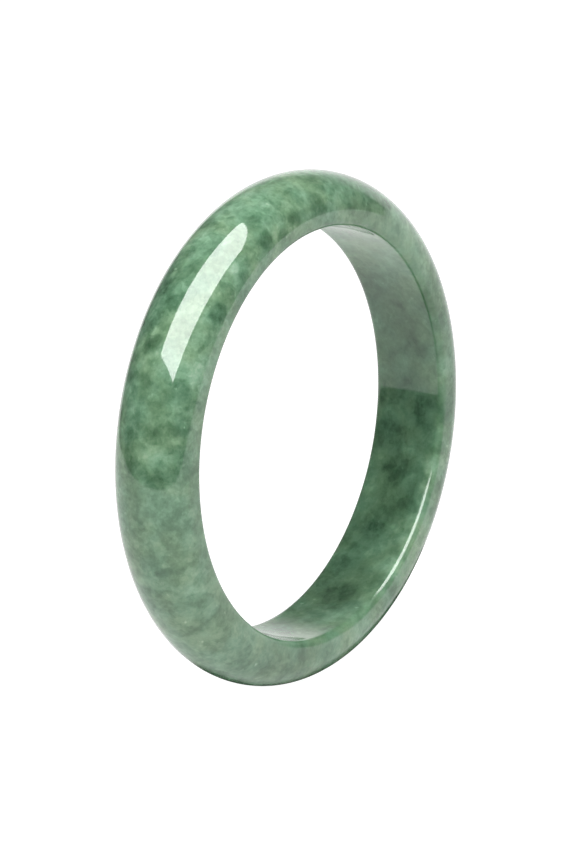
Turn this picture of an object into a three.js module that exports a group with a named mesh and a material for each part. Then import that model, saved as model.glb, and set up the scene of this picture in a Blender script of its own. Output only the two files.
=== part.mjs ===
// A one-piece stone bangle: a closed round ring, cut and ground from a single block of jade.
//
// Units are millimetres and +Z is up. The ring stands upright on its crown with its axis along
// Y, and the origin is the centre of the opening that the hand passes through. The section is a
// "D": a straight bore that lies against the wrist, a narrow flat side square to it at each end,
// and a half ellipse outside. The bangle has no clasp, hinge, lining or fitting, so it is one
// mesh.

import * as THREE from "three";

// Driving dimensions.
const BORE_DIAMETER = 58; // across the opening, the size that a bangle is sold by
const BAND_WIDTH = 11.8; // along the axis, from side to side
const BAND_THICKNESS = 7.2; // from the bore to the crown
const DOME_HEIGHT = 5; // how much of the thickness is the half ellipse
const EDGE_RADIUS = 1; // easing of the two edges between the bore and the sides

// How finely the round stretches are cut into facets.
const RING_SEGMENTS = 96;
const DOME_SEGMENTS = 18;
const EDGE_SEGMENTS = 4;

const BORE_RADIUS = BORE_DIAMETER / 2;
const HALF_WIDTH = BAND_WIDTH / 2;
const CROWN_RADIUS = BORE_RADIUS + BAND_THICKNESS;
const SHOULDER_RADIUS = CROWN_RADIUS - DOME_HEIGHT; // where each flat side meets the dome

const QUARTER_TURN = Math.PI / 2;
const HALF_TURN = Math.PI;

/** The outer half ellipse, from the shoulder at -Y over the crown to the shoulder at +Y. */
function dome() {
  const arc = new THREE.EllipseCurve(
    SHOULDER_RADIUS,
    0,
    DOME_HEIGHT,
    HALF_WIDTH,
    -QUARTER_TURN,
    QUARTER_TURN,
  );
  return arc.getPoints(DOME_SEGMENTS);
}

/** The eased edge between the bore and the side at +Y (side = 1) or at -Y (side = -1). */
function easedEdge(side, startAngle) {
  const arc = new THREE.EllipseCurve(
    BORE_RADIUS + EDGE_RADIUS,
    side * (HALF_WIDTH - EDGE_RADIUS),
    EDGE_RADIUS,
    EDGE_RADIUS,
    startAngle,
    startAngle + QUARTER_TURN,
  );
  return arc.getPoints(EDGE_SEGMENTS);
}

/**
 * The closed section, as (radius, distance along the axis): over the dome, down the side at
 * +Y and round its eased edge, along the bore, and round the other edge back up the side at -Y.
 */
function sectionOutline() {
  const outline = [...dome(), ...easedEdge(1, QUARTER_TURN), ...easedEdge(-1, HALF_TURN)];
  const start = outline[0];
  return [...outline, start.clone()];
}

/** Polished jade: mid green with a glassy surface. */
function jade() {
  return new THREE.MeshStandardMaterial({
    name: "jade",
    color: new THREE.Color(0.17, 0.31, 0.19),
    roughness: 0.1,
    metalness: 0,
  });
}

/** The whole ring, the section turned once about Y. */
function bangleRing() {
  const geometry = new THREE.LatheGeometry(sectionOutline(), RING_SEGMENTS);
  const ring = new THREE.Mesh(geometry, jade());
  ring.name = "bangle_ring";
  return ring;
}

const bangle = new THREE.Group();
bangle.name = "jade_bangle";
bangle.add(bangleRing());

export default bangle;
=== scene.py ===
"""A one-piece polished jade bangle, standing on white paper in a small studio.

The file is laid out as an add-on: property groups hold the sizes, colours and studio settings,
one operator carves and polishes the ring, one sets up the studio, and a panel lists them. It is
run as a script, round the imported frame. Lengths are metres unless a name says mm.
"""

import math

import bmesh
import bpy
from bpy.props import FloatProperty, FloatVectorProperty, IntProperty, PointerProperty
from bpy.types import Operator, Panel, PropertyGroup
from mathutils import Matrix, Vector, noise


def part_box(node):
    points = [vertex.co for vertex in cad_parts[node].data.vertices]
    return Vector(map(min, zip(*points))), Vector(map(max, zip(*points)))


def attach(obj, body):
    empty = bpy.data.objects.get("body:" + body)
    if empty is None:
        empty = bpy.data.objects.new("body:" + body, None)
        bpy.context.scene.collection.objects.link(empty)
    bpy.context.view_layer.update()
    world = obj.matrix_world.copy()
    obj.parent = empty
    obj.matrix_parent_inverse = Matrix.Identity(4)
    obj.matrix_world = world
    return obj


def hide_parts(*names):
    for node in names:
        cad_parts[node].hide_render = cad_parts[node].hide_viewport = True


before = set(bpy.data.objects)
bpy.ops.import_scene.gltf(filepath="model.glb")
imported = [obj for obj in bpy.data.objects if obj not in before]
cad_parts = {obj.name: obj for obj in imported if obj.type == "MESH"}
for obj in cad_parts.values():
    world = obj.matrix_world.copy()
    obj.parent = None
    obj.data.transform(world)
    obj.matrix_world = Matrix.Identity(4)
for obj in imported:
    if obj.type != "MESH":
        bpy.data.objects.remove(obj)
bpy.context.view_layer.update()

bl_info = {
    "name": "Jade Bangle",
    "version": (1, 0, 0),
    "blender": (4, 5, 0),
    "location": "View3D > Sidebar > Bangle",
    "description": "Carves a round jade bangle and sets it in a small white studio",
    "category": "Object",
}

MM = 0.001
NODE = "bangle_ring"
LOW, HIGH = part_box(NODE)
BORE_RADIUS = min(math.hypot(v.co.x, v.co.z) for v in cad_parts[NODE].data.vertices)


# ---------------------------------------------------------------- settings


def length(name, description, default):
    return FloatProperty(name=name, description=description, default=default, unit="LENGTH")


def angle(name, description, degrees):
    return FloatProperty(
        name=name, description=description, default=math.radians(degrees), subtype="ANGLE"
    )


def colour(name, description, default):
    return FloatVectorProperty(
        name=name, description=description, default=default, subtype="COLOR", min=0, max=1
    )


def amount(name, description, default):
    return FloatProperty(name=name, description=description, default=default, min=0)


class RingSettings(PropertyGroup):
    """Sizes of the ring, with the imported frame's sizes as defaults."""

    bore_radius: length("Bore radius", "From the axis to the bore", BORE_RADIUS)
    crown_radius: length("Crown radius", "From the axis to the top of the dome", HIGH.x)
    half_width: length("Half width", "Half of the band's width along the axis", HIGH.y)
    dome_height: length("Dome height", "Depth of the half ellipse outside", 5 * MM)
    edge_radius: length("Edge radius", "Easing of the bore's two edges", 1 * MM)
    ripple: length("Polish ripple", "How far hand polishing leaves the surface uneven", 0.012 * MM)
    chip_depth: length("Chip depth", "Depth of the small chip on the front bore edge", 0.12 * MM)
    chip_size: length("Chip size", "Half the width of the chip", 0.55 * MM)
    chip_turn: angle("Chip turn", "Where the chip is, round the ring from its top", 19.5)
    turn_steps: IntProperty(
        name="Turn steps", description="Facets round the ring", default=720, min=24
    )


class JadeSettings(PropertyGroup):
    """Colours of the stone, from its darkest patches to its palest grains."""

    deep: colour("Deep green", "Darkest patches", (0.009, 0.045, 0.017))
    dark: colour("Dark green", "Dark mottling", (0.056, 0.129, 0.071))
    middle: colour("Middle green", "The body of the stone", (0.096, 0.191, 0.114))
    light: colour("Light green", "Pale clouds", (0.152, 0.268, 0.173))
    pale: colour("Pale green", "Cottony grains", (0.272, 0.393, 0.293))
    warm: colour("Warm drift", "What the warmer stretches are multiplied by", (1.0, 0.925, 0.85))
    depth: amount("Translucency", "How much of the light scatters under the surface", 0.35)
    gloss: amount("Roughness", "Roughness of the polish", 0.045)
    edge_wear: amount("Edge wear", "How much rougher the bore's eased edges are", 0.11)
    index: amount("Refractive index", "That of jadeite", 1.66)


class StudioSettings(PropertyGroup):
    """Camera, softbox, paper and room."""

    view_azimuth: angle("View azimuth", "Turn of the camera about the upright axis", -54.5)
    view_elevation: angle("View elevation", "Height of the camera above level", 14.0)
    view_distance: length("View distance", "From the camera to the ring's centre", 0.5539)
    lens: amount("Lens", "Focal length in millimetres on a 36 mm frame", 165.8)
    aim_right: length("Aim right", "How far the camera stands to the right", -0.69 * MM)
    aim_up: length("Aim up", "How far the camera stands upward", -0.44 * MM)
    softbox_azimuth: angle("Softbox azimuth", "Direction of the softbox from +X", -137.4)
    softbox_elevation: angle("Softbox elevation", "Height of the softbox above level", 61.8)
    softbox_turn: angle("Softbox turn", "How far it faces aside from the ring", -27.7)
    softbox_roll: angle("Softbox roll", "Turn of the softbox about its own axis", 66.0)
    softbox_distance: length("Softbox distance", "From the ring to the softbox", 0.55)
    softbox_long: length("Softbox long side", "Its long side", 0.741)
    softbox_short: length("Softbox short side", "Its short side", 0.52)
    softbox_corner: length("Softbox corner", "Rounding of two of its corners", 0.035)
    glare: amount("Softbox glare", "Radiance that the polish mirrors", 8.6)
    fill: amount("Softbox fill", "Radiance that lights the stone", 6.2)
    paper: amount("Paper glow", "Radiance of the white paper", 1.0)
    mirrored_paper: amount("Mirrored paper", "Radiance of the paper that the polish mirrors", 1.15)
    front: angle("Paper front", "Direction in which the mirrored paper reaches least far up", -160)
    room: amount("Room glow", "Radiance of the rest of the room", 0.28)


# ---------------------------------------------------------------- shader maths


class Value:
    """A value that varies over a surface. Arithmetic on it adds Math nodes."""

    def __init__(self, graph, socket):
        self.graph = graph
        self.socket = socket

    def math(self, operation, *terms):
        return self.graph.add("ShaderNodeMath", {"operation": operation}, dict(enumerate(terms)))

    def __add__(self, other):
        return self.math("ADD", self, other)

    def __sub__(self, other):
        return self.math("SUBTRACT", self, other)

    def __rsub__(self, other):
        return self.math("SUBTRACT", other, self)

    def __mul__(self, other):
        return self.math("MULTIPLY", self, other)

    def __truediv__(self, other):
        return self.math("DIVIDE", self, other)

    def __rtruediv__(self, other):
        return self.math("DIVIDE", other, self)

    def __abs__(self):
        return self.math("ABSOLUTE", self)

    __radd__ = __add__
    __rmul__ = __mul__

    def larger(self, other):
        return self.math("MAXIMUM", self, other)

    def fade(self, start, end):
        """0 at start and 1 at end, smoothly; start may be the larger."""
        settings = {"interpolation_type": "SMOOTHSTEP"}
        return self.graph.add(
            "ShaderNodeMapRange", settings, {"Value": self, "From Min": start, "From Max": end}
        )


class Graph:
    """A material and its nodes, added one at a time."""

    def __init__(self, name):
        self.material = bpy.data.materials.new(name)
        self.material.use_nodes = True
        self.tree = self.material.node_tree
        self.tree.nodes.clear()

    def add(self, kind, settings=None, sockets=None, output=0):
        """Adds a node, sets its settings, then fills its sockets; returns one of its outputs."""
        node = self.tree.nodes.new(kind)
        for key, value in (settings or {}).items():
            if key == "stops":
                set_stops(node.color_ramp, value)
            else:
                setattr(node, key, value)
        for key, value in (sockets or {}).items():
            if isinstance(value, Value):
                self.tree.links.new(value.socket, node.inputs[key])
            else:
                node.inputs[key].default_value = value
        return Value(self, node.outputs[output]) if node.outputs else None


def set_stops(ramp, stops):
    """Gives a ramp its (position, colour) stops."""
    while len(ramp.elements) > 1:
        ramp.elements.remove(ramp.elements[-1])
    for number, (position, tint) in enumerate(stops):
        element = ramp.elements[0] if number == 0 else ramp.elements.new(position)
        element.position = position
        element.color = (*tint, 1)


def vector_math(graph, operation, terms, output="Vector"):
    """Adds a Vector Math node on the given terms."""
    sockets = dict(enumerate(terms))
    return graph.add("ShaderNodeVectorMath", {"operation": operation}, sockets, output)


def noise_at(graph, place, size_mm, detail=2.0, roughness=0.5, distortion=0.0, output="Fac"):
    """A noise whose features are about size_mm across, on coordinates in millimetres."""
    sockets = {
        "Vector": place,
        "Scale": 1 / size_mm,
        "Detail": detail,
        "Roughness": roughness,
        "Distortion": distortion,
    }
    return graph.add("ShaderNodeTexNoise", None, sockets, output)


def moved(graph, place, offset):
    """The same coordinates, moved by a fixed offset, so that two patterns don't line up."""
    return vector_math(graph, "ADD", (place, offset))


def warped(graph, place, size_mm, reach_mm):
    """Coordinates pushed about by a noise, so that outlines on them wander."""
    push = noise_at(graph, place, size_mm, output="Color")
    push = vector_math(graph, "SUBTRACT", (push, (0.5, 0.5, 0.5)))
    return vector_math(graph, "MULTIPLY_ADD", (push, (2 * reach_mm,) * 3, place))


# ---------------------------------------------------------------- jade

# How much each layer of the pattern lightens or darkens the stone.
CLOUDINESS = 0.5
MOTTLE = 0.5
GRAIN = 0.28
COARSE_CELLS = 0.14
FINE_CELLS = 0.13
SPECKS = 0.35
BORE_SHARE = 0.65  # how much of the fine layers is left inside the bore

CLOUD_CORE = 0.38  # the share of a cloud's size that has its full tone
FISSURE_CORE = 0.3  # the same for the length of a healed crack
FISSURE_REACH_MM = 0.8  # how far a healed crack's tone spreads to each side
PIT_DEPTH = 4.0  # against a height of 1 for the waves of the polish
SMEAR = 0.02  # how much the roughness varies

# The colour sockets of a Mix node, which shares its names among all its kinds of socket.
MIX_FACTOR, MIX_A, MIX_B = 0, 6, 7
MIX_RESULT = 2

# Broad drifts of painted light and shade, dark patches and pale clouds in the stone, and a painted
# reflection: (degrees round the ring from the top towards +X, millimetres along the axis, distance
# from the axis in mm, size in mm, tone).
CLOUDS_AND_PAINTED_LIGHT = (
    # Broad drifts: mostly paler outside and along the front edge, darker inside the bore. The paler
    # ones are painted light on the crown and the lower -X side, and a painted reflection along the
    # front edge. The darker ones inside the bore are painted shade.
    (-15, -3.0, 36, 17, 0.05),
    (-55, -6.0, 33, 9, 0.09),
    (40, -6.0, 32, 14, 0.10),
    (-125, -3.0, 36, 20, 0.06),
    (135, -6.5, 32, 9, 0.14),
    # Painted shade: darker inside the bore, where less light reaches.
    (65, 1.0, 25, 13, -0.24),
    (98, 1.0, 24, 14, -0.19),
    (122, 1.0, 24, 14, -0.17),
    (146, 1.0, 24, 14, -0.17),
    (168, 1.0, 24, 13, -0.15),
    # Painted reflection: paler along the front edge, at the bottom.
    (165, -6.5, 32, 10, 0.14),
    (180, -4.5, 34, 9, 0.08),
    # Darker drifts on the outside.
    (20, -3.0, 35.4, 5.5, -0.14),
    (25, -4.4, 34.6, 3.0, -0.10),
    (-48, 4.0, 35.0, 10, -0.06),
    # Dark patches on the -X side.
    (-89, -3.0, 35.5, 2.2, -0.16),
    (-88, -4.6, 34.3, 2.0, -0.12),
    (-87, 0.1, 36.2, 2.4, -0.13),
    (-82, 1.8, 36.0, 2.4, -0.13),
    (-78, 0.4, 36.2, 2.2, -0.16),
    (-80, -2.5, 35.7, 2.0, -0.08),
    (-77, -5.2, 33.5, 2.2, -0.13),
    (-70, -4.5, 34.4, 2.2, -0.10),
    (-75, 3.3, 35.3, 3.0, -0.13),
    (-66, 3.1, 35.4, 2.6, -0.13),
    # Small dark patches on the crown and behind it, from the -X side to the top.
    (-68.5, 0.0, 36.2, 1.5, -0.16),
    (-60.5, 0.3, 36.2, 1.8, -0.24),
    (-51, -0.3, 36.2, 1.4, -0.22),
    (-57, 2.3, 35.8, 1.7, -0.14),
    (-54.5, 3.7, 35.1, 1.6, -0.16),
    (-47.5, 2.8, 35.6, 2.2, -0.24),
    (-42, 3.6, 35.2, 2.4, -0.17),
    (-29, 1.7, 36.0, 1.8, -0.18),
    # Dark patches along the front edge, over the top.
    (-49, -5.5, 32.8, 2.0, -0.28),
    (-37, -5.7, 32.4, 1.5, -0.16),
    (-25.5, -5.6, 32.5, 1.7, -0.24),
    (-24, -3.5, 35.2, 1.8, -0.13),
    (-13, -5.6, 32.5, 1.7, -0.21),
    (-4, -5.7, 32.4, 2.8, -0.16),
    (1, -3.8, 35.0, 2.8, -0.10),
    (10, -5.5, 32.8, 2.2, -0.12),
    (27, -5.4, 33.0, 2.0, -0.18),
    (60, -5.7, 32.0, 2.0, -0.09),
    # Dark patches on the lower -X side.
    (-99.5, -5.0, 33.9, 2.6, -0.18),
    (-101, -0.2, 36.2, 2.2, -0.13),
    (-113, -3.0, 35.4, 2.6, -0.10),
    (-118, 0.0, 36.2, 3.2, -0.12),
    (-127, -4.4, 34.5, 2.4, -0.09),
    (-147, -4.0, 35.0, 3.0, -0.09),
    (-169, -5.8, 31.0, 2.0, -0.10),
    # Dark and pale patches inside the bore, on the +X side.
    (97, -3.4, 29, 3.6, -0.17),
    (91, -1.0, 29, 4.0, -0.12),
    (92, 3.2, 29, 3.0, -0.13),
    (104, 2.6, 29, 3.6, -0.09),
    (113, 0.4, 29, 3.2, -0.13),
    (124, -2.6, 29, 3.4, -0.10),
    (129, 0.8, 29, 3.4, -0.12),
    (140, -1.0, 29, 2.8, 0.09),
    (146, 3.7, 29, 2.8, -0.12),
    (157, -0.4, 29, 4.4, -0.10),
    (118, 3.4, 29, 2.4, 0.10),
    (106, -0.6, 29, 2.0, 0.08),
    (60, 0.5, 29, 3.0, -0.08),
    (78, -2.5, 29, 2.4, -0.08),
    # Painted reflection: pale stretches along the bore's eased front edge, standing in for pale light
    # mirrored there.
    (102, -5.7, 29.6, 2.6, 0.14),
    (111, -5.7, 29.6, 2.6, 0.20),
    (119, -5.7, 29.6, 2.6, 0.18),
    (127, -5.7, 29.6, 2.6, 0.20),
    (135, -5.7, 29.6, 2.6, 0.16),
    (143, -5.7, 29.6, 2.6, 0.20),
    (151, -5.7, 29.6, 2.2, 0.14),
    # Pale clouds.
    (-57.8, 0.6, 36.2, 1.0, 0.21),
    (-47, -0.5, 36.2, 1.6, 0.18),
    (-44, 2.2, 35.9, 1.1, 0.18),
    (-83, -1.8, 35.9, 2.4, 0.12),
    (-80, -4.9, 33.9, 1.0, 0.18),
    (-63, -5.3, 33.2, 2.8, 0.13),
    (-45, -4.8, 34.1, 1.3, 0.16),
    (-37.5, -4.9, 33.9, 1.1, 0.22),
    (-22, -5.5, 32.8, 1.5, 0.16),
    (-18, -2.9, 35.5, 1.0, 0.16),
    (82, -5.9, 30.4, 2.4, 0.16),
)

# Faint healed cracks: as above, with how far each leans along the axis before its tone.
FISSURES = (
    (-111, -2.5, 35, 7.0, 0.12, -0.16),
    (-116, -1.0, 35, 6.0, -0.25, -0.12),
    (-128, -4.0, 34, 5.0, 0.30, -0.10),
    (70, 3.0, 35, 8.0, 0.25, -0.14),
)


def ring_point_mm(degrees, along, radius):
    """A place in the ring, in millimetres, from its turn, its place along the axis and its radius."""
    turn = math.radians(degrees)
    return (radius * math.sin(turn), along, radius * math.cos(turn))


def clouds_and_painted_light_tone(graph, place):
    """The sum of the listed drifts, patches and clouds."""
    wandering = warped(graph, warped(graph, place, 2.6, 0.9), 0.9, 0.28)
    total = 0.0
    for degrees, along, radius, size, tone in CLOUDS_AND_PAINTED_LIGHT:
        centre = ring_point_mm(degrees, along, radius)
        gap = vector_math(graph, "DISTANCE", (wandering, centre), "Value")
        # The broad drifts and the pale edge stretches among these are painted light, painted
        # reflection and painted shade.
        total = gap.fade(size, CLOUD_CORE * size) * tone + total
    return total


def fissure_tone(graph, place):
    """Faint healed cracks: thin dark sheets that run outward from the axis."""
    wandering = warped(graph, place, 6.0, 1.6)
    total = 0.0
    for degrees, along, radius, size, lean, tone in FISSURES:
        turn = math.radians(degrees)
        across = (math.cos(turn), lean, -math.sin(turn))
        offset = vector_math(graph, "DOT_PRODUCT", (wandering, across), "Value")
        sheet = abs(offset - lean * along).fade(FISSURE_REACH_MM, 0.0)
        gap = vector_math(graph, "DISTANCE", (place, ring_point_mm(degrees, along, radius)), "Value")
        total = sheet * gap.fade(size, FISSURE_CORE * size) * tone + total
    return total


def picked_cells(graph, place, size_mm, channel):
    """A mosaic's distance from its grains' centres, and a random number for each grain."""
    cells = {"Vector": place, "Scale": 1 / size_mm, "Randomness": 1.0}
    gap = graph.add("ShaderNodeTexVoronoi", None, cells, "Distance")
    cell = graph.add("ShaderNodeTexVoronoi", None, cells, "Color")
    return gap, graph.add("ShaderNodeSeparateColor", None, {"Color": cell}, channel)


def cell_tone(graph, place, size_mm):
    """A random tone for each grain of a mosaic, with slightly soft joints."""
    cells = {"Vector": place, "Scale": 1 / size_mm, "Smoothness": 0.25, "Randomness": 1.0}
    tone = graph.add("ShaderNodeTexVoronoi", {"feature": "SMOOTH_F1"}, cells, "Color")
    return graph.add("ShaderNodeSeparateColor", None, {"Color": tone}, "Red")


def axis_distance(graph, place):
    """Millimetres from the ring's axis."""
    level = vector_math(graph, "MULTIPLY", (place, (1, 0, 1)))
    return vector_math(graph, "LENGTH", (level,), "Value")


def edge_mask(graph, place, ring):
    """1 on the eased edges of the bore, where the polish is softer, 0 elsewhere."""
    along = graph.add("ShaderNodeSeparateXYZ", None, {"Vector": place}, "Y")
    overhang = abs(along) - axis_distance(graph, place)
    edge_start = (ring.half_width - ring.edge_radius - ring.bore_radius) / MM
    return overhang.fade(edge_start + 0.05, edge_start + 0.35)


def stone_and_painted_light_tone(graph, place, ring):
    """How light the stone is, from 0 in its darkest patches to 1 in its palest grains, with painted
    light, painted reflection and painted shade from the broad drifts and the pale edge stretches.
    """
    bore = ring.bore_radius / MM
    wavy = warped(graph, place, 1.6, 0.5)
    clouds = noise_at(graph, warped(graph, place, 5.0, 2.0), 4.2, 2.0, 0.55)
    mottle = noise_at(graph, moved(graph, place, (5, 17, 9)), 1.5, 3.0, 0.62, 0.3)
    grain = noise_at(graph, moved(graph, place, (2, 8, 31)), 0.5, 2.0, 0.6)
    fine = (mottle - 0.5) * MOTTLE + (grain - 0.5) * GRAIN
    fine = fine + (cell_tone(graph, wavy, 1.9) - 0.5) * COARSE_CELLS
    fine = fine + (cell_tone(graph, moved(graph, wavy, (7, 3, 2)), 0.8) - 0.5) * FINE_CELLS
    fine = fine + speck_mask(graph, place) * SPECKS
    outward = axis_distance(graph, place).fade(bore + 0.3, bore + 3.0)
    tone = 0.5 + (clouds - 0.5) * CLOUDINESS + fine * (outward * (1 - BORE_SHARE) + BORE_SHARE)
    return tone + clouds_and_painted_light_tone(graph, place) + fissure_tone(graph, place)


def speck_mask(graph, place):
    """1 on small scattered grains, 0 between them."""
    wandering = warped(graph, moved(graph, place, (3.3, 5.1, 8.4)), 0.9, 0.5)
    gap, pick = picked_cells(graph, wandering, 1.6, "Red")
    return gap.fade(0.2, 0.04) * pick.fade(0.72, 0.95)


def pit_mask(graph, place):
    """1 in tiny scattered pits that the polish has missed, 0 between them."""
    gap, pick = picked_cells(graph, moved(graph, place, (4, 9, 1)), 2.4, "Green")
    return gap.fade(0.06, 0.02) * pick.fade(0.6, 0.7)


def jade_material(settings, ring):
    """Polished jade: granular mottled green with darker patches, under a glassy surface."""
    graph = Graph("jade")
    place = graph.add("ShaderNodeTexCoord", output="Object")
    place = graph.add("ShaderNodeMapping", None, {"Vector": place, "Scale": (1 / MM,) * 3})
    tone = stone_and_painted_light_tone(graph, place, ring)
    stops = [
        (0.0, settings.deep),
        (0.34, settings.dark),
        (0.52, settings.middle),
        (0.72, settings.light),
        (1.0, settings.pale),
    ]
    tint = graph.add("ShaderNodeValToRGB", {"stops": stops}, {"Fac": tone})
    warmth = noise_at(graph, moved(graph, place, (21, 6, 13)), 5.0, 2.0).fade(0.35, 0.65)
    multiply = {"data_type": "RGBA", "blend_type": "MULTIPLY"}
    warmer = {MIX_FACTOR: warmth, MIX_A: tint, MIX_B: (*settings.warm, 1)}
    tint = graph.add("ShaderNodeMix", multiply, warmer, MIX_RESULT)
    smear = noise_at(graph, place, 6.0, 3.0)
    wear = edge_mask(graph, place, ring) * settings.edge_wear
    height = noise_at(graph, place, 1.2, 2.0) - pit_mask(graph, place) * PIT_DEPTH
    relief = graph.add(
        "ShaderNodeBump", None, {"Strength": 0.02, "Distance": 0.1 * MM, "Height": height}
    )
    shader = graph.add(
        "ShaderNodeBsdfPrincipled",
        {"subsurface_method": "RANDOM_WALK"},
        {
            "Base Color": tint,
            "Roughness": (smear - 0.5) * SMEAR + settings.gloss + wear,
            "IOR": settings.index,
            "Normal": relief,
            "Subsurface Weight": settings.depth,
            "Subsurface Radius": (0.5, 1.0, 0.6),
            "Subsurface Scale": 1.2 * MM,
        },
    )
    graph.add("ShaderNodeOutputMaterial", None, {"Surface": shader})
    return graph.material


# ---------------------------------------------------------------- ring

# How finely the section is cut: over the dome, round each eased edge, and on the flat stretches.
DOME_STEPS = 44
EDGE_STEPS = 7
FLAT_STEP = 0.45 * MM

# The two wavelengths of the unevenness that hand polishing leaves.
LONG_WAVE = 9 * MM
SHORT_WAVE = 3.5 * MM


def section_outline(work, ring):
    """Draws the closed D section in the XY plane, radius along X and the band's width along Y."""
    shoulder = ring.crown_radius - ring.dome_height
    bmesh.ops.create_circle(work, segments=2 * DOME_STEPS, radius=1)
    inner_half = [vert for vert in work.verts if vert.co.x < -0.0001]
    bmesh.ops.delete(work, geom=inner_half, context="VERTS")
    bmesh.ops.scale(work, vec=(ring.dome_height, ring.half_width, 1), verts=work.verts)
    bmesh.ops.translate(work, vec=(shoulder, 0, 0), verts=work.verts)
    ends = [vert for vert in work.verts if len(vert.link_edges) == 1]
    grown = bmesh.ops.extrude_vert_indiv(work, verts=ends)
    corners = grown["verts"]
    bmesh.ops.translate(work, vec=(ring.bore_radius - shoulder, 0, 0), verts=corners)
    bmesh.ops.contextual_create(work, geom=corners)
    bmesh.ops.bevel(
        work,
        geom=corners,
        offset=ring.edge_radius,
        offset_type="OFFSET",
        segments=EDGE_STEPS,
        profile=0.5,
        affect="VERTICES",
        material=-1,
    )
    for edge in list(work.edges):
        pieces = round(edge.calc_length() / FLAT_STEP)
        if pieces > 1:
            bmesh.ops.subdivide_edges(work, edges=[edge], cuts=pieces - 1)


def ring_form(ring):
    """The smooth ring: its section turned once about the Y axis."""
    work = bmesh.new()
    section_outline(work, ring)
    bmesh.ops.spin(
        work,
        geom=work.verts[:] + work.edges[:],
        cent=(0, 0, 0),
        axis=(0, 1, 0),
        dvec=(0, 0, 0),
        angle=2 * math.pi,
        steps=ring.turn_steps,
        use_merge=True,
        use_duplicate=False,
    )
    bmesh.ops.remove_doubles(work, verts=work.verts, dist=0.001 * MM)
    bmesh.ops.recalc_face_normals(work, faces=work.faces)
    return work


def hand_finish(work, ring):
    """Leaves the faint unevenness of hand polishing, and one small chip on the front bore edge."""
    work.normal_update()
    chip_radius = ring.bore_radius + 0.3 * ring.edge_radius
    level = chip_radius * math.sin(ring.chip_turn)
    chip = Vector((level, -ring.half_width, chip_radius * math.cos(ring.chip_turn)))
    moves = []
    for vert in work.verts:
        wave = noise.noise(vert.co / LONG_WAVE) + 0.4 * noise.noise(vert.co / SHORT_WAVE)
        near = (vert.co - chip).length / ring.chip_size
        dent = ring.chip_depth * math.exp(-near * near)
        moves.append((vert, vert.normal * (ring.ripple * wave - dent)))
    for vert, move in moves:
        vert.co += move


def add_piece(name, work, material):
    """Makes a smooth-shaded object of a bmesh."""
    mesh = bpy.data.meshes.new(name)
    for face in work.faces:
        face.smooth = True
    work.to_mesh(mesh)
    work.free()
    mesh.materials.append(material)
    piece = bpy.data.objects.new(name, mesh)
    bpy.context.scene.collection.objects.link(piece)
    return piece


# ---------------------------------------------------------------- studio

# How far the softbox's two short ends lean, as a share of its short side.
LEFT_SLANT = 0.06
RIGHT_SLANT = 0.17

PAPER_HALF = 1.5
ROOM_RADIUS = 3

# How high the mirrored paper reaches, as sines of the angle above level, seen from the ring. It
# ends a little below level, drops in front, and sweeps up behind in two steps.
PAPER_END = -0.15
FRONT_DROP = 0.135
SWEEP_STEP = 0.27

# The room is dim straight behind the ring, as the camera sees it, within the first of these
# angles, and as it is elsewhere past the second.
DIM_BEHIND = math.radians(8)
CLEAR_BEHIND = math.radians(14)


def heading(azimuth, elevation):
    """The unit direction at an azimuth from +X and an elevation above level."""
    level = math.cos(elevation)
    return Vector((level * math.cos(azimuth), level * math.sin(azimuth), math.sin(elevation)))


def white_glow(graph, strength):
    """A white Emission shader."""
    return graph.add("ShaderNodeEmission", None, {"Color": (1, 1, 1, 1), "Strength": strength})


def softbox_place(studio):
    """Where the softbox stands and how it is turned."""
    place = heading(studio.softbox_azimuth, studio.softbox_elevation) * studio.softbox_distance
    face = heading(studio.softbox_azimuth + studio.softbox_turn, studio.softbox_elevation)
    turn = face.to_track_quat("Z", "Y").to_matrix().to_4x4()
    return Matrix.Translation(place) @ turn @ Matrix.Rotation(studio.softbox_roll, 4, "Z")


def add_softbox(name, studio, radiance):
    """A rectangular light aimed beside the ring, of a given radiance. The polish ignores it."""
    light = bpy.data.lights.new(name, "AREA")
    light.shape = "RECTANGLE"
    light.size = studio.softbox_long
    light.size_y = studio.softbox_short
    light.energy = radiance * math.pi * light.size * light.size_y
    lamp = bpy.data.objects.new(name, light)
    bpy.context.scene.collection.objects.link(lamp)
    lamp.matrix_world = softbox_place(studio)
    lamp.visible_camera = False
    lamp.visible_glossy = False


def add_stage(name, work, material, seen):
    """Makes an object of the studio; seen says whether the camera sees it."""
    mesh = bpy.data.meshes.new(name)
    work.to_mesh(mesh)
    work.free()
    mesh.materials.append(material)
    thing = bpy.data.objects.new(name, mesh)
    bpy.context.scene.collection.objects.link(thing)
    thing.visible_camera = seen
    return thing


def add_softbox_face(name, studio):
    """The softbox's white face, which only the polish mirrors: its ends are cut at a slant."""
    work = bmesh.new()
    bmesh.ops.create_grid(work, x_segments=1, y_segments=1, size=0.5)
    sides = (studio.softbox_long, studio.softbox_short, 1)
    bmesh.ops.scale(work, vec=sides, verts=work.verts)
    for corner in work.verts:
        slant = RIGHT_SLANT if corner.co.x > 0 else LEFT_SLANT
        corner.co.x -= slant * corner.co.y
    bmesh.ops.bevel(
        work,
        geom=[corner for corner in work.verts if corner.co.y > 0],
        offset=studio.softbox_corner,
        offset_type="OFFSET",
        segments=3,
        profile=0.5,
        affect="VERTICES",
        material=-1,
    )
    graph = Graph(name)
    glow = white_glow(graph, studio.glare)
    graph.add("ShaderNodeOutputMaterial", None, {"Surface": glow})
    face = add_stage(name, work, graph.material, False)
    face.matrix_world = softbox_place(studio)
    face.visible_diffuse = False
    face.visible_shadow = False


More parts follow.
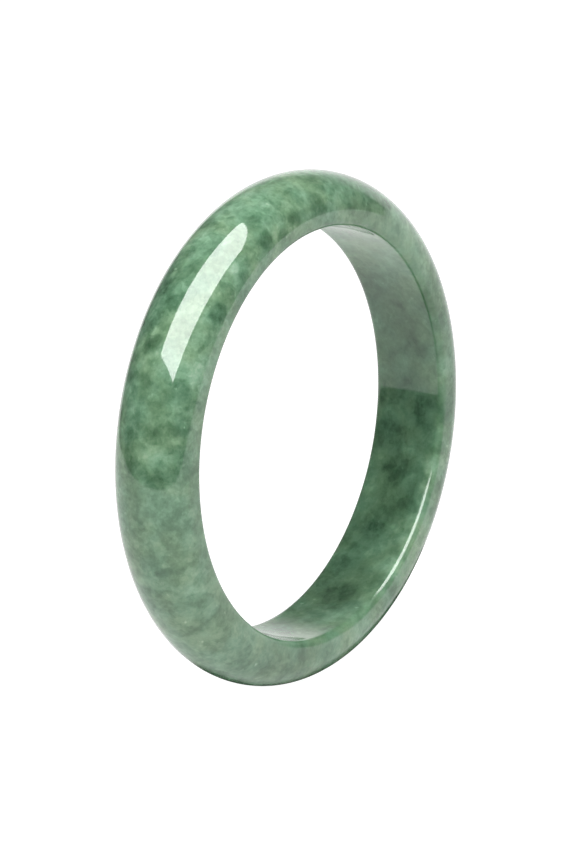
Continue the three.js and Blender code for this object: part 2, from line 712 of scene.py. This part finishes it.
def paper_material(strength):
    """White paper, lit almost to a uniform white."""
    graph = Graph("paper")
    matt = graph.add("ShaderNodeBsdfDiffuse", None, {"Color": (0.2, 0.2, 0.2, 1)})
    both = graph.add("ShaderNodeAddShader", None, {0: white_glow(graph, strength), 1: matt})
    graph.add("ShaderNodeOutputMaterial", None, {"Surface": both})
    return graph.material


def add_paper(studio):
    """The white sheet that the ring stands on. The polish mirrors the room's own paper glow."""
    work = bmesh.new()
    bmesh.ops.create_grid(work, x_segments=1, y_segments=1, size=PAPER_HALF)
    bmesh.ops.translate(work, vec=(0, 0, LOW.z), verts=work.verts)
    sheet = add_stage("paper", work, paper_material(studio.paper), True)
    sheet.visible_glossy = False


def view_direction(studio):
    """The unit direction from the ring to the camera."""
    return heading(studio.view_azimuth - math.radians(90), studio.view_elevation)


def room_material(studio):
    """The room's glow, by direction: white paper below, sweeping up behind, else dim."""
    graph = Graph("room")
    place = graph.add("ShaderNodeTexCoord", output="Object")
    way = vector_math(graph, "NORMALIZE", (place,))
    rise = graph.add("ShaderNodeSeparateXYZ", None, {"Vector": way}, "Z")
    level = vector_math(graph, "MULTIPLY", (way, (1, 1, 0)))
    level = vector_math(graph, "NORMALIZE", (level,))
    # 1 straight towards the front, -1 straight behind.
    ahead = vector_math(graph, "DOT_PRODUCT", (level, heading(studio.front, 0)), "Value")
    sheet_end = ahead.larger(0.0) * -FRONT_DROP + PAPER_END
    sheet = (rise - sheet_end).fade(0.012, -0.012)
    first_step = ahead.fade(-0.52, -0.85) * SWEEP_STEP
    second_step = ahead.fade(-0.8, -0.97)
    sweep_end = first_step + second_step * SWEEP_STEP + PAPER_END
    softness = second_step * 0.16 + 0.02
    sweep = ((rise - sweep_end) / softness).fade(1.0, -1.0) * ahead.fade(-0.5, -0.6)
    behind = -view_direction(studio)
    nearness = vector_math(graph, "DOT_PRODUCT", (way, behind), "Value")
    clear = nearness.fade(math.cos(DIM_BEHIND), math.cos(CLEAR_BEHIND))
    share = sheet.larger(sweep) * clear
    lit = white_glow(graph, studio.mirrored_paper)
    dim = white_glow(graph, studio.room)
    both = graph.add("ShaderNodeMixShader", None, {"Fac": share, 1: dim, 2: lit})
    graph.add("ShaderNodeOutputMaterial", None, {"Surface": both})
    return graph.material


def add_room(studio):
    """A shell round everything, which the polish mirrors and which softly lights the stone."""
    work = bmesh.new()
    bmesh.ops.create_icosphere(work, subdivisions=5, radius=ROOM_RADIUS)
    add_stage("room", work, room_material(studio), False)


def shade_material(name, radiance, core):
    """A soft-edged shade: its core's radiance, fading out to nothing at a distance of 1."""
    graph = Graph(name)
    place = graph.add("ShaderNodeTexCoord", output="Object")
    reach = vector_math(graph, "LENGTH", (place,), "Value")
    clear = graph.add("ShaderNodeBsdfTransparent")
    shade = white_glow(graph, radiance)
    sockets = {"Fac": reach.fade(1.0, core), 1: clear, 2: shade}
    both = graph.add("ShaderNodeMixShader", None, sockets)
    graph.add("ShaderNodeOutputMaterial", None, {"Surface": both})
    return graph.material


def add_shade(name, centre, reach, radiance, core):
    """An oval patch of the ring's own shade on the paper, seen only in the polish."""
    work = bmesh.new()
    bmesh.ops.create_grid(work, x_segments=1, y_segments=1, size=1)
    patch = add_stage(name, work, shade_material(name, radiance, core), False)
    patch.matrix_world = Matrix.Translation(centre) @ Matrix.Diagonal((*reach, 1, 1))
    patch.visible_diffuse = False


def add_shades():
    """The dark strip right under the ring, and the wider, lighter shade round it."""
    floor = LOW.z
    contact = (23 * MM, 5 * MM, floor)
    cast = (8 * MM, 5 * MM, floor - 0.1 * MM)
    add_shade("shade_contact", contact, reach=(44 * MM, 12.5 * MM), radiance=0.02, core=0.82)
    add_shade("shade_cast", cast, reach=(45 * MM, 20 * MM), radiance=0.45, core=0.2)


def add_camera(studio):
    """The camera, turned towards the ring along the view's direction."""
    back = view_direction(studio)
    right = heading(studio.view_azimuth, 0)
    up = back.cross(right)
    lens = bpy.data.cameras.new("camera")
    lens.lens = studio.lens
    lens.sensor_width = 36
    lens.clip_start = 0.01
    camera = bpy.data.objects.new("camera", lens)
    bpy.context.scene.collection.objects.link(camera)
    place = back * studio.view_distance + right * studio.aim_right + up * studio.aim_up
    turn = Matrix((right, up, back)).transposed().to_4x4()
    camera.matrix_world = Matrix.Translation(place) @ turn
    bpy.context.scene.camera = camera


def set_world():
    """White beyond the paper's edge, so that only the ring shows."""
    scene = bpy.context.scene
    world = bpy.data.worlds.new("studio")
    scene.world = world
    world.use_nodes = True
    world.node_tree.nodes["Background"].inputs["Color"].default_value = (1, 1, 1, 1)
    scene.view_settings.view_transform = "Standard"


# ---------------------------------------------------------------- operators


class BANGLE_OT_carve_ring(Operator):
    """Carve and polish the jade ring in place of its frame node"""

    bl_idname = "bangle.carve_ring"
    bl_label = "Carve Ring"

    def execute(self, context):
        ring = context.scene.bangle_ring
        work = ring_form(ring)
        hand_finish(work, ring)
        piece = add_piece("jade_ring", work, jade_material(context.scene.bangle_jade, ring))
        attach(piece, "root")
        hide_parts(NODE)
        return {"FINISHED"}


class BANGLE_OT_set_studio(Operator):
    """Set up the paper, the room, the shades, the softbox and the camera"""

    bl_idname = "bangle.set_studio"
    bl_label = "Set Studio"

    def execute(self, context):
        studio = context.scene.bangle_studio
        set_world()
        add_paper(studio)
        add_room(studio)
        add_shades()
        add_softbox_face("softbox_face", studio)
        add_softbox("softbox_light", studio, studio.fill)
        add_camera(studio)
        return {"FINISHED"}


class BANGLE_PT_panel(Panel):
    """Steps of the bangle, in the 3D view's sidebar"""

    bl_idname = "BANGLE_PT_panel"
    bl_label = "Jade Bangle"
    bl_space_type = "VIEW_3D"
    bl_region_type = "UI"
    bl_category = "Bangle"

    def draw(self, context):
        for step in STEPS:
            self.layout.operator(step.bl_idname)


STEPS = (BANGLE_OT_carve_ring, BANGLE_OT_set_studio)
SETTINGS = {
    "bangle_ring": RingSettings,
    "bangle_jade": JadeSettings,
    "bangle_studio": StudioSettings,
}


def register():
    for kind in (*SETTINGS.values(), *STEPS, BANGLE_PT_panel):
        bpy.utils.register_class(kind)
    for name, kind in SETTINGS.items():
        setattr(bpy.types.Scene, name, PointerProperty(type=kind))


def unregister():
    for name in SETTINGS:
        delattr(bpy.types.Scene, name)
    for kind in (BANGLE_PT_panel, *reversed(STEPS), *reversed(SETTINGS.values())):
        bpy.utils.unregister_class(kind)


def main():
    register()
    bpy.ops.bangle.carve_ring()
    bpy.ops.bangle.set_studio()


if __name__ == "__main__":
    main()
